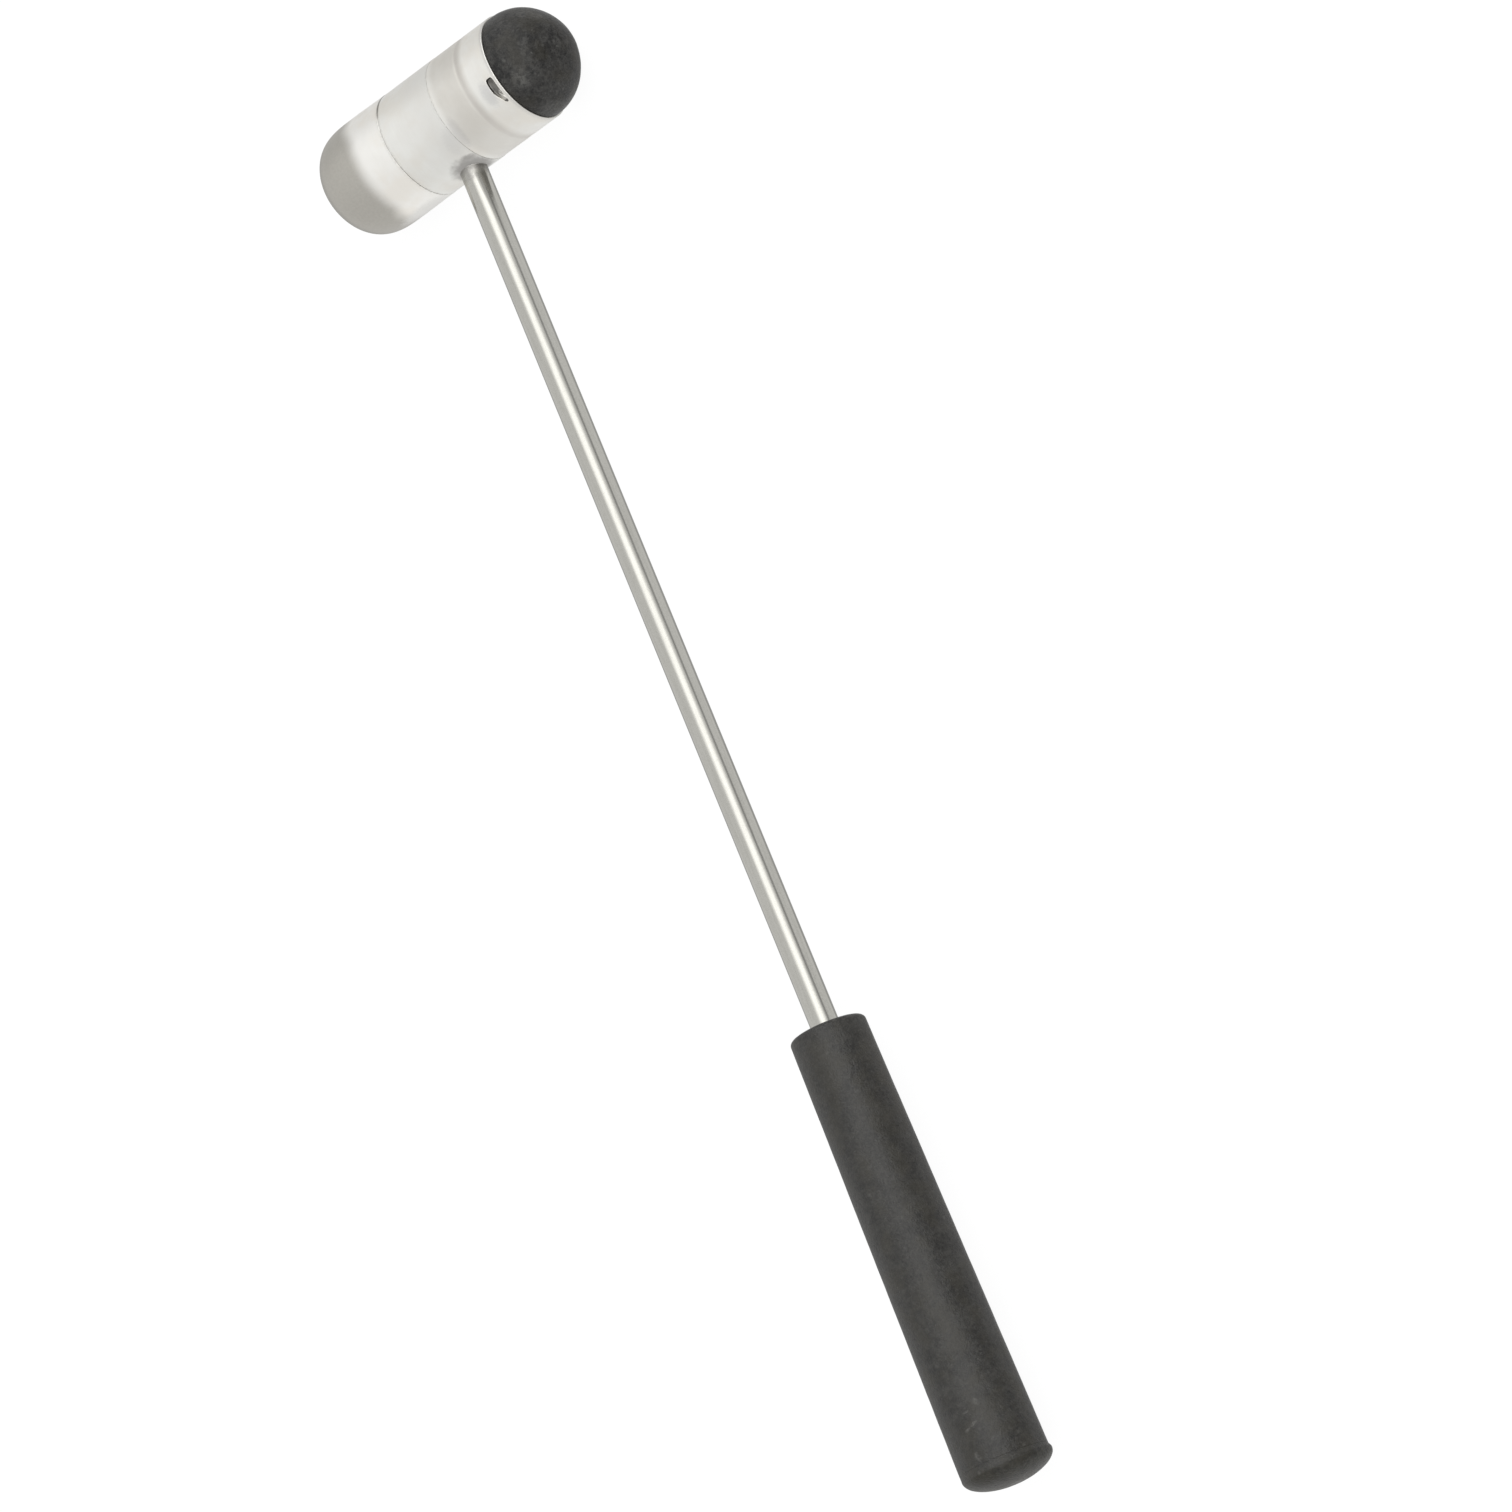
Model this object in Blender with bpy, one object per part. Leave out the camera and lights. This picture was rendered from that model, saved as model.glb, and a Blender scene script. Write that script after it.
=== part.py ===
# Striking hammer for sounding a tuning fork.
#
# A chromed head lies across the end of a thin rod: a screwed-on metal dome at one
# end, a rubber dome held in a screwed-on sleeve at the other. A tapered rubber grip
# with a domed end plug is pressed on the other end of the rod.
#
# The hammer lies flat: head axis along X (rubber end at +X), rod along Y (grip
# towards -Y), both axes level. The origin is under the middle of the bounding box.

import math

import bmesh
import bpy
from mathutils import Matrix, Vector

MM = 0.001

# ---------------------------------------------------------------- driving sizes (mm)
ROUND = 48                 # facets round a turned piece

# rod
SHAFT_R = 2.5              # 5 mm stock rod, the size everything else is scaled from
SHAFT_TOP = -5.8           # end inside the hub, past the head's axis
SHAFT_TAIL = 240.0         # end inside the grip
SHAFT_CHAMFER = 0.4

# head, stations along its axis from the rod's axis
CAP_R = 10.5               # at the crown, 4 mm from the seam
CAP_SEAM_R = 10.42
CAP_CROWN = -12.5
HUB_R = 10.38
SLEEVE_R = 10.33
TIP_R = 10.05
CAP_FACE = -8.35           # the cap's flat face at the seam
HUB_LEFT = -8.05
HUB_RIGHT = 3.9
SLEEVE_FACE = 4.1
RIM = 17.6                 # the sleeve's open end
EDGE = 0.15                # small chamfers at the seams

# metal dome
DOME_START = -17.0
DOME_LENGTH = 11.0
DOME_P, DOME_Q = 3.5, 2.0

# rubber dome
TIP_START = 17.9
TIP_LENGTH = 10.1
TIP_P, TIP_Q = 2.25, 1.42
TIP_BASE = 17.7            # the rubber's shoulder, just clear of the rim

# stud that joins cap and hub
STUD_R = 2.75              # pitch radius of an M6 thread
STUD_HOLE_R = 3.05
STUD_OUTER = -13.4
STUD_INNER = -2.9
CAP_BORE_END = -14.4

# threaded spigot, disc and sleeve
SPIGOT_R = 7.4
SPIGOT_END = 9.2
SLEEVE_BORE_R = 7.7
SOCKET_R = 9.0
SOCKET_STEP = 10.5
DISC_R = 7.3
DISC_START, DISC_END = 9.5, 10.3
PLUG_R = 8.7
PLUG_FACE = 10.8
GROOVE_AT = 10.95          # shallow rolled groove round the sleeve
GROOVE_HALF = 0.65
GROOVE_DEPTH = 0.12
SLOT_FROM, SLOT_TO = 15.4, 16.9
SLOT_FLOOR_R = 9.7         # shallow slots, for a pin spanner
SLOT_ANGLE = 30.0          # from the top towards the grip
SLOT_SPAN = 30.0
SLOT_COUNT = 2

# rod hole in the hub
ROD_HOLE_R = 2.6
ROD_HOLE_END = -6.2

# grip, stations along the rod from the head's axis
GRIP_TOP = 175.0
GRIP_BOTTOM = 251.6
GRIP_TOP_R = 6.68
GRIP_BOTTOM_R = 7.73
GRIP_EDGE = 0.8
GRIP_BORE_R = 2.8
GRIP_MOUTH_R = 3.3
GRIP_MOUTH_DEPTH = 1.2

# end plug
END_START = 251.9
END_LIP_R = 7.95
END_LIP = 0.35
END_TIP = 256.0
END_FLAT_R = 2.0
END_STEM_R = 2.5
END_STEM_TOP = 242.0

# where the two axes cross, so that the box stands on z = 0 with the origin below it
DOME_TIP = DOME_START - DOME_LENGTH
RUBBER_TIP = TIP_START + TIP_LENGTH
CENTRE = Vector((
    -0.5 * (DOME_TIP + RUBBER_TIP),
    0.5 * (END_TIP - CAP_R),
    CAP_R,
)) * MM


# ---------------------------------------------------------------- helpers
for old in list(bpy.data.objects):
    bpy.data.objects.remove(old, do_unlink=True)

scene = bpy.context.scene


def material(name, colour, roughness, metallic):
    mat = bpy.data.materials.new(name)
    mat.use_nodes = True
    shader = mat.node_tree.nodes["Principled BSDF"]
    shader.inputs["Base Color"].default_value = (*colour, 1.0)
    shader.inputs["Roughness"].default_value = roughness
    shader.inputs["Metallic"].default_value = metallic
    mat.diffuse_color = (*colour, 1.0)
    return mat


def empty(name, location, parent=None):
    obj = bpy.data.objects.new(name, None)
    obj.empty_display_size = 0.01
    obj.location = location
    obj.parent = parent
    scene.collection.objects.link(obj)
    return obj


def finish(name, bm, parent, mat):
    bmesh.ops.remove_doubles(bm, verts=bm.verts, dist=1e-7)
    bmesh.ops.recalc_face_normals(bm, faces=bm.faces)
    mesh = bpy.data.meshes.new(name)
    bm.to_mesh(mesh)
    bm.free()
    mesh.shade_smooth()
    mesh.set_sharp_from_angle(angle=math.radians(32))
    obj = bpy.data.objects.new(name, mesh)
    obj.parent = parent
    if mat is not None:
        mesh.materials.append(mat)
    scene.collection.objects.link(obj)
    return obj


def turned(name, profile, along, parent, mat=None, steps=ROUND, closed=False):
    """Turn a profile of (station, radius) pairs, in mm, about the X axis, or about the
    Y axis with stations counted towards -Y. An open profile starts and ends on the axis."""
    bm = bmesh.new()
    verts = []
    for station, radius in profile:
        if along == "X":
            co = (station * MM, 0.0, radius * MM)
        else:
            co = (0.0, -station * MM, radius * MM)
        verts.append(bm.verts.new(co))
    edges = [bm.edges.new(pair) for pair in zip(verts, verts[1:])]
    if closed:
        edges.append(bm.edges.new((verts[-1], verts[0])))
    axis = (1, 0, 0) if along == "X" else (0, 1, 0)
    bmesh.ops.spin(bm, geom=verts + edges, cent=(0, 0, 0), axis=axis,
                   angle=math.tau, steps=steps, use_merge=True)
    return finish(name, bm, parent, mat)


def sector(name, x0, x1, r0, r1, centre_deg, span_deg, parent, steps=8):
    """A block bent round the X axis; centre_deg counts from +Z towards -Y."""
    bm = bmesh.new()
    start = math.radians(centre_deg - span_deg / 2)
    spin = Matrix.Rotation(start, 3, "X")
    corners = [(x0, r0), (x1, r0), (x1, r1), (x0, r1)]
    verts = [bm.verts.new(spin @ Vector((x * MM, 0.0, r * MM))) for x, r in corners]
    face = bm.faces.new(verts)
    bmesh.ops.spin(bm, geom=[face] + face.edges[:] + verts, cent=(0, 0, 0), axis=(1, 0, 0),
                   angle=math.radians(span_deg), steps=steps, use_merge=False)
    return finish(name, bm, parent, None)


def cut(target, tool):
    tool.hide_render = True
    tool.display_type = "WIRE"
    mod = target.modifiers.new("cut_" + tool.name, "BOOLEAN")
    mod.operation = "DIFFERENCE"
    mod.solver = "EXACT"
    mod.object = tool


def dome(start, length, radius, p, q, sign, count, last):
    """Stations from the dome's foot to its tip; last is the fraction that ends it."""
    points = []
    for i in range(1, count + 1):
        k = math.sin(0.5 * math.pi * i / count) * last
        points.append((start + sign * length * k,
                       radius * max(0.0, 1.0 - k ** p) ** (1.0 / q)))
    return points


# ---------------------------------------------------------------- materials
chrome_cap = material("chromed_cap", (0.79, 0.78, 0.76), 0.12, 1.0)
chrome_hub = material("chromed_hub", (0.80, 0.79, 0.78), 0.10, 1.0)
chrome_sleeve = material("chromed_sleeve", (0.80, 0.79, 0.78), 0.10, 1.0)
chrome_rod = material("chromed_rod", (0.78, 0.77, 0.75), 0.14, 1.0)
steel_stud = material("stud_steel", (0.55, 0.55, 0.54), 0.35, 1.0)
steel_disc = material("disc_steel", (0.58, 0.58, 0.57), 0.32, 1.0)
rubber_head = material("tip_rubber", (0.055, 0.055, 0.054), 0.62, 0.0)
rubber_grip = material("grip_rubber", (0.060, 0.060, 0.056), 0.72, 0.0)
rubber_end = material("end_rubber", (0.060, 0.060, 0.056), 0.72, 0.0)

# ---------------------------------------------------------------- where things turn
head = empty("head_centre", CENTRE)
cap_axis = empty("cap_axis", (CAP_FACE * MM, 0, 0), head)
tip_axis = empty("tip_axis", (SLEEVE_FACE * MM, 0, 0), head)


def on_axis(profile, axis_station):
    return [(s - axis_station, r) for s, r in profile]


# ---------------------------------------------------------------- metal cap and stud
cap_profile = [(DOME_TIP, 0.0)]
cap_profile += list(reversed(dome(DOME_START, DOME_LENGTH, CAP_R, DOME_P, DOME_Q, -1, 14, 0.9985)))
cap_profile += [
    (DOME_START, CAP_R),
    (CAP_CROWN, CAP_R),
    (CAP_FACE - EDGE, CAP_SEAM_R),
    (CAP_FACE, CAP_SEAM_R - EDGE),
    (CAP_FACE, STUD_HOLE_R),
    (CAP_BORE_END, STUD_HOLE_R),
    (CAP_BORE_END - 0.6 * STUD_HOLE_R, 0.0),
]
turned("striking_cap", on_axis(cap_profile, CAP_FACE), "X", cap_axis, chrome_cap)

stud_profile = [
    (STUD_OUTER, 0.0),
    (STUD_OUTER, STUD_R - 0.5),
    (STUD_OUTER + 0.5, STUD_R),
    (STUD_INNER - 0.5, STUD_R),
    (STUD_INNER, STUD_R - 0.5),
    (STUD_INNER, 0.0),
]
turned("cap_stud", on_axis(stud_profile, CAP_FACE), "X", cap_axis, steel_stud, steps=24)

# ---------------------------------------------------------------- hub
hub_profile = [
    (HUB_LEFT, 0.0),
    (HUB_LEFT, HUB_R - EDGE),
    (HUB_LEFT + EDGE, HUB_R),
    (HUB_RIGHT - 0.08, HUB_R),
    (HUB_RIGHT, HUB_R - 0.08),
    (HUB_RIGHT, SPIGOT_R),
    (SPIGOT_END - 0.5, SPIGOT_R),
    (SPIGOT_END, SPIGOT_R - 0.5),
    (SPIGOT_END, 0.0),
]
hub = turned("head_hub", hub_profile, "X", head, chrome_hub)

rod_hole = turned("rod_hole", [
    (ROD_HOLE_END, 0.0), (ROD_HOLE_END, ROD_HOLE_R),
    (HUB_R + 3.0, ROD_HOLE_R), (HUB_R + 3.0, 0.0)], "Y", head)
stud_hole = turned("stud_hole", [
    (HUB_LEFT - 2.0, 0.0), (HUB_LEFT - 2.0, STUD_HOLE_R),
    (-1.2, STUD_HOLE_R), (-1.2, 0.0)], "X", head, steps=24)
cut(hub, rod_hole)
cut(hub, stud_hole)

# ---------------------------------------------------------------- tip sleeve
sleeve_profile = [
    (SLEEVE_FACE, SLEEVE_BORE_R),
    (SLEEVE_FACE, SLEEVE_R - 0.08),
    (SLEEVE_FACE + 0.08, SLEEVE_R),
]
for i in range(9):
    u = -1.0 + 2.0 * i / 8
    sleeve_profile.append((GROOVE_AT + u * GROOVE_HALF,
                           SLEEVE_R - GROOVE_DEPTH * 0.5 * (1.0 + math.cos(math.pi * u))))
sleeve_profile += [
    (RIM - EDGE, SLEEVE_R),
    (RIM, SLEEVE_R - EDGE),
    (RIM, SOCKET_R),
    (SOCKET_STEP, SOCKET_R),
    (SOCKET_STEP, SLEEVE_BORE_R),
]
sleeve = turned("tip_sleeve", on_axis(sleeve_profile, SLEEVE_FACE), "X", tip_axis,
                chrome_sleeve, closed=True)
for i in range(SLOT_COUNT):
    slot = sector("spanner_slot_%d" % i, SLOT_FROM - SLEEVE_FACE, SLOT_TO - SLEEVE_FACE,
                  SLOT_FLOOR_R, SLEEVE_R + 1.0,
                  SLOT_ANGLE + i * 360.0 / SLOT_COUNT, SLOT_SPAN, tip_axis)
    cut(sleeve, slot)

# ---------------------------------------------------------------- backing disc
disc_profile = [
    (DISC_START, 0.0), (DISC_START, DISC_R - 0.1), (DISC_START + 0.1, DISC_R),
    (DISC_END - 0.1, DISC_R), (DISC_END, DISC_R - 0.1), (DISC_END, 0.0),
]
turned("tip_backing_disc", on_axis(disc_profile, SLEEVE_FACE), "X", tip_axis, steel_disc, steps=32)

# ---------------------------------------------------------------- rubber tip
tip_profile = [
    (PLUG_FACE, 0.0),
    (PLUG_FACE, PLUG_R - 0.4),
    (PLUG_FACE + 0.4, PLUG_R),
    (TIP_BASE, PLUG_R),
    (TIP_BASE, TIP_R - 0.1),
    (TIP_BASE + 0.1, TIP_R),
    (TIP_START, TIP_R),
]
tip_profile += dome(TIP_START, TIP_LENGTH, TIP_R, TIP_P, TIP_Q, 1, 14, 0.9985)
tip_profile += [(RUBBER_TIP, 0.0)]
turned("rubber_tip", on_axis(tip_profile, SLEEVE_FACE), "X", tip_axis, rubber_head)

# ---------------------------------------------------------------- rod
shaft_profile = [
    (SHAFT_TOP, 0.0),
    (SHAFT_TOP, SHAFT_R - SHAFT_CHAMFER),
    (SHAFT_TOP + SHAFT_CHAMFER, SHAFT_R),
    (SHAFT_TAIL - SHAFT_CHAMFER, SHAFT_R),
    (SHAFT_TAIL, SHAFT_R - SHAFT_CHAMFER),
    (SHAFT_TAIL, 0.0),
]
turned("shaft", shaft_profile, "Y", head, chrome_rod)

# ---------------------------------------------------------------- grip and end plug
grip_profile = [
    (GRIP_TOP, GRIP_MOUTH_R),
    (GRIP_TOP, GRIP_TOP_R - GRIP_EDGE),
]
for i in range(1, 5):
    a = 0.5 * math.pi * i / 4
    grip_profile.append((GRIP_TOP + GRIP_EDGE * (1.0 - math.cos(a)),
                         GRIP_TOP_R - GRIP_EDGE + GRIP_EDGE * math.sin(a)))
grip_profile += [
    (GRIP_BOTTOM - 0.2, GRIP_BOTTOM_R),
    (GRIP_BOTTOM, GRIP_BOTTOM_R - 0.2),
    (GRIP_BOTTOM, GRIP_BORE_R),
    (GRIP_TOP + GRIP_MOUTH_DEPTH, GRIP_BORE_R),
]
turned("grip_sleeve", grip_profile, "Y", head, rubber_grip, closed=True)

end_profile = [
    (END_STEM_TOP, 0.0),
    (END_STEM_TOP, END_STEM_R - 0.4),
    (END_STEM_TOP + 0.4, END_STEM_R),
    (END_START, END_STEM_R),
    (END_START, END_LIP_R - 0.1),
    (END_START + 0.1, END_LIP_R),
    (END_START + END_LIP, END_LIP_R),
]
end_length = END_TIP - END_START - END_LIP
flat = (1.0 - (END_FLAT_R / END_LIP_R) ** 2.1) ** (1.0 / 2.1)
end_profile += dome(END_START + END_LIP, end_length / flat, END_LIP_R, 2.1, 2.1, 1, 10, flat)
end_profile += [(END_TIP, 0.0)]
turned("grip_end_plug", end_profile, "Y", head, rubber_end)
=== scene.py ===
# Looks of the tuning fork hammer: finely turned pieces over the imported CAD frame,
# procedural chrome and rubber, a pale floor and soft light.

import math

import bmesh
import bpy
from mathutils import Matrix, Vector, noise


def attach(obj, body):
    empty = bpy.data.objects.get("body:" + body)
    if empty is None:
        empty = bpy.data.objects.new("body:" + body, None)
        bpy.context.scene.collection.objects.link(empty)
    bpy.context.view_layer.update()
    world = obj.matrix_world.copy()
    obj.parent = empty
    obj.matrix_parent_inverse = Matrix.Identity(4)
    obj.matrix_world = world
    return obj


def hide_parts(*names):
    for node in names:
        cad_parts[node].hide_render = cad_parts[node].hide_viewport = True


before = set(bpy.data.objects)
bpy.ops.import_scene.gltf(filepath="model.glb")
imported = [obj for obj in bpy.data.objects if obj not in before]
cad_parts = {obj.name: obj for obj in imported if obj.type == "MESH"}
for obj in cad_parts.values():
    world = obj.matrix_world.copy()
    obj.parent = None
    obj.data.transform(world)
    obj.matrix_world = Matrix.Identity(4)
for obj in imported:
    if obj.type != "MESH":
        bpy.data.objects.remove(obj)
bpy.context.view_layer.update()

MM = 0.001
YC, ZC = 122.75, 10.5      # where the head's axis and the rod's axis cross, mm
TAU = math.tau

scene = bpy.context.scene
scene.view_settings.view_transform = "Standard"
scene.view_settings.look = "None"


# ------------------------------------------------------------------ mesh helpers
def on_head(x, r, a):
    """A point round the head's axis; a counts from the top towards the grip."""
    return (x * MM, (YC - r * math.sin(a)) * MM, (ZC + r * math.cos(a)) * MM)


def on_rod(s, r, a):
    """A point round the rod's axis; s counts from the head's axis towards the grip."""
    return (r * math.sin(a) * MM, (YC - s) * MM, (ZC + r * math.cos(a)) * MM)


def angles(n):
    return [TAU * i / n for i in range(n)]


def smooth(t):
    t = min(1.0, max(0.0, t))
    return t * t * (3.0 - 2.0 * t)


class Shell:
    """Rings of points joined by bands of quads."""

    def __init__(self):
        self.v = []
        self.f = []

    def ring(self, points):
        start = len(self.v)
        self.v.extend(points)
        return list(range(start, start + len(points)))

    def band(self, a, b, closed=True):
        n = len(a)
        for i in range(n if closed else n - 1):
            j = (i + 1) % n
            self.f.append((a[i], a[j], b[j], b[i]))

    def tip(self, ring, point):
        c = self.ring([point])[0]
        n = len(ring)
        for i in range(n):
            self.f.append((ring[i], ring[(i + 1) % n], c))

    def turn(self, profile, place, turns):
        """Turned surface through (station, radius) pairs; a radius of 0 closes it."""
        last = None
        first = None
        for s, r in profile:
            if r <= 1e-6:
                if last is not None:
                    self.tip(last, place(s, 0.0, 0.0))
                else:
                    first = place(s, 0.0, 0.0)
                continue
            ring = self.ring([place(s, r, a) for a in turns])
            if first is not None:
                self.tip(ring, first)
                first = None
            if last is not None:
                self.band(last, ring)
            last = ring
        return last

    def screw(self, x0, x1, root, crest, pitch, place, turns, end0, end1, hand=1.0):
        """Outside thread as a height field round the axis, run out at both ends."""
        steps = int(round((x1 - x0) / pitch * 12))
        rings = []
        for i in range(steps + 1):
            x = x0 + (x1 - x0) * i / steps
            pts = []
            for a in turns:
                ph = ((x - x0) / pitch - hand * a / TAU) % 1.0
                tri = 1.0 - abs(2.0 * ph - 1.0)
                h = smooth((tri - 0.10) / 0.78)
                fade = smooth((x - x0 - end0) / 0.7) * smooth((x1 - end1 - x) / 0.7)
                pts.append(place(x, root + (crest - root) * h * fade, a))
            rings.append(self.ring(pts))
        for a, b in zip(rings, rings[1:]):
            self.band(a, b)
        return rings[0], rings[-1]


def corners(points, step=1.0, arc=5):
    """Profile through (station, radius, fillet) corners, with rounded corners, a close
    ring beside each one so that its shading stays narrow, and no run longer than step."""
    pts = []
    n = len(points)
    for i, (s, r, f) in enumerate(points):
        if f <= 0 or i in (0, n - 1):
            pts.append((s, r, 0))
            continue
        p = Vector((s, r))
        a = (Vector(points[i - 1][:2]) - p).normalized()
        b = (Vector(points[i + 1][:2]) - p).normalized()
        half = 0.5 * math.acos(max(-1.0, min(1.0, a.dot(b))))
        cut = f / math.tan(half)
        centre = p + (a + b).normalized() * (f / math.sin(half))
        t0, t1 = p + a * cut, p + b * cut
        u, w = (t0 - centre) / f, (t1 - centre) / f
        span = math.acos(max(-1.0, min(1.0, u.dot(w))))
        pts.append((*(t0 + a * 0.35 * f), 1))
        for k in range(arc + 1):
            t = k / arc
            d = (u * math.sin((1 - t) * span) + w * math.sin(t * span)) / math.sin(span)
            q = centre + d * f
            pts.append((q.x, q.y, 1))
        pts.append((*(t1 + b * 0.35 * f), 1))
    out = [pts[0][:2]]
    for (s0, r0, _), (s1, r1, _) in zip(pts, pts[1:]):
        length = math.hypot(s1 - s0, r1 - r0)
        k = max(1, int(math.ceil(length / step)))
        for j in range(1, k + 1):
            out.append((s0 + (s1 - s0) * j / k, r0 + (r1 - r0) * j / k))
    return out


def dome(start, length, radius, p, q, sign, count):
    pts = []
    for i in range(1, count + 1):
        k = math.sin(0.5 * math.pi * i / count)
        r = radius * max(0.0, 1.0 - k ** p) ** (1.0 / q)
        pts.append((start + sign * length * k, r if i < count else 0.0))
    return pts


def wall(shell, prof, turns, holes, place=on_head):
    """Turned wall with holes in it. prof is a list of (station, radius); each hole is
    (i0, i1, j0, j1, outline, rings): the patch of the wall that it lies in, a function
    from a direction to its outline's (station, angle), and how many rings fill the patch.
    Returns the first ring, the last ring and each hole's outline ring with its points."""
    n = len(turns)
    grid = [shell.ring([place(s, r, a) for a in turns]) for s, r in prof]
    inside = set()
    for i0, i1, j0, j1, _, _ in holes:
        for i in range(i0, i1):
            for j in range(j0, j1):
                inside.add((i, j % n))
    for i in range(len(prof) - 1):
        for j in range(n):
            if (i, j) in inside:
                continue
            k = (j + 1) % n
            shell.f.append((grid[i][j], grid[i][k], grid[i + 1][k], grid[i + 1][j]))
    lips = []
    for i0, i1, j0, j1, outline, rings in holes:
        idx = ([(i, j0) for i in range(i0, i1)] + [(i1, j) for j in range(j0, j1)]
               + [(i, j1) for i in range(i1, i0, -1)] + [(i0, j) for j in range(j1, j0, -1)])
        edge = [grid[i][j % n] for i, j in idx]

        def at(i, j):
            return prof[i][0], turns[j % n] + TAU * (j // n)

        s_mid = 0.5 * (prof[i0][0] + prof[i1][0])
        a_mid = 0.5 * (at(i0, j0)[1] + at(i0, j1)[1])
        hs = 0.5 * (prof[i1][0] - prof[i0][0])
        ha = 0.5 * (at(i0, j1)[1] - at(i0, j0)[1])
        lip = []
        for i, j in idx:
            s, a = at(i, j)
            lip.append(outline(math.atan2((a - a_mid) / ha, (s - s_mid) / hs)))
        radius = prof[(i0 + i1) // 2][1]
        last = edge
        for k in range(1, rings + 1):
            t = 1.0 - (1.0 - k / rings) ** 1.4
            pts = []
            for (i, j), (ls, la) in zip(idx, lip):
                s, a = at(i, j)
                pts.append(place(s + (ls - s) * t, radius, a + (la - a) * t))
            ring = shell.ring(pts)
            shell.band(last, ring)
            last = ring
        lips.append((last, lip))
    return grid[0], grid[-1], lips


def piece(name, shell, mat, body, node, sharp=38.0, grain=None):
    """Makes the mesh, puts it on its body in place of its CAD node."""
    mesh = bpy.data.meshes.new(name)
    mesh.from_pydata(shell.v, [], shell.f)
    bm = bmesh.new()
    bm.from_mesh(mesh)
    bmesh.ops.remove_doubles(bm, verts=bm.verts, dist=2e-8)
    bmesh.ops.recalc_face_normals(bm, faces=bm.faces)
    if grain is not None:
        bm.normal_update()
        moves = [(v, v.normal * grain(v.co)) for v in bm.verts]
        for v, d in moves:
            v.co += d
    bm.to_mesh(mesh)
    bm.free()
    mesh.shade_smooth()
    mesh.set_sharp_from_angle(angle=math.radians(sharp))
    obj = bpy.data.objects.new(name, mesh)
    mesh.materials.append(mat)
    scene.collection.objects.link(obj)
    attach(obj, body)
    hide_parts(node)
    return obj


# ------------------------------------------------------------------ node helpers
def node(t, kind, inputs=None, **attrs):
    nd = t.nodes.new(kind)
    for k, v in attrs.items():
        setattr(nd, k, v)
    for k, v in (inputs or {}).items():
        if isinstance(v, bpy.types.NodeSocket):
            t.links.new(v, nd.inputs[k])
        else:
            nd.inputs[k].default_value = v
    return nd


def calc(t, op, a, b=0.0, c=0.0):
    nd = t.nodes.new("ShaderNodeMath")
    nd.operation = op
    for i, v in enumerate((a, b, c)):
        if isinstance(v, bpy.types.NodeSocket):
            t.links.new(v, nd.inputs[i])
        else:
            nd.inputs[i].default_value = v
    return nd.outputs[0]


def vec(t, op, a, b=(0, 0, 0), scale=None):
    nd = t.nodes.new("ShaderNodeVectorMath")
    nd.operation = op
    for i, v in enumerate((a, b)):
        if isinstance(v, bpy.types.NodeSocket):
            t.links.new(v, nd.inputs[i])
        else:
            nd.inputs[i].default_value = v
    if scale is not None:
        nd.inputs["Scale"].default_value = scale
    return nd.outputs["Value"] if op in ("LENGTH", "DOT_PRODUCT") else nd.outputs["Vector"]


def ramp(t, value, lo, hi, out_lo=0.0, out_hi=1.0, soft=True):
    nd = node(t, "ShaderNodeMapRange",
              {"Value": value, "From Min": lo, "From Max": hi, "To Min": out_lo, "To Max": out_hi})
    nd.interpolation_type = "SMOOTHSTEP" if soft else "LINEAR"
    nd.clamp = True
    return nd.outputs["Result"]


def clouds(t, vector, scale, detail=3.0, rough=0.5):
    return node(t, "ShaderNodeTexNoise",
                {"Vector": vector, "Scale": scale, "Detail": detail, "Roughness": rough}).outputs["Fac"]


def blend(t, fac, a, b):
    nd = t.nodes.new("ShaderNodeMix")
    nd.data_type = "RGBA"
    for i, v in ((0, fac), (6, a), (7, b)):
        if isinstance(v, bpy.types.NodeSocket):
            t.links.new(v, nd.inputs[i])
        else:
            nd.inputs[i].default_value = v
    return nd.outputs[2]


def rgb(r, g, b):
    return (r, g, b, 1.0)


def new_material(name):
    mat = bpy.data.materials.new(name)
    mat.use_nodes = True
    t = mat.node_tree
    return mat, t, t.nodes["Principled BSDF"]


def axis_coords(t):
    """Object coordinates from the crossing of the two axes, in mm, and their parts."""
    co = node(t, "ShaderNodeTexCoord").outputs["Object"]
    p = vec(t, "SCALE", vec(t, "SUBTRACT", co, (0, YC * MM, ZC * MM)), scale=1000.0)
    sep = node(t, "ShaderNodeSeparateXYZ", {"Vector": p})
    return p, sep.outputs["X"], sep.outputs["Y"], sep.outputs["Z"]


def lathe_coords(t, along, u, w, fine, round_):
    """Coordinates that run fine along an axis and slowly round it."""
    r = calc(t, "SQRT", calc(t, "ADD", calc(t, "MULTIPLY", u, u),
                             calc(t, "ADD", calc(t, "MULTIPLY", w, w), 1e-4)))
    return node(t, "ShaderNodeCombineXYZ", {
        "X": calc(t, "MULTIPLY", along, fine),
        "Y": calc(t, "MULTIPLY", calc(t, "DIVIDE", u, r), round_),
        "Z": calc(t, "MULTIPLY", calc(t, "DIVIDE", w, r), round_)}).outputs["Vector"]


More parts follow.
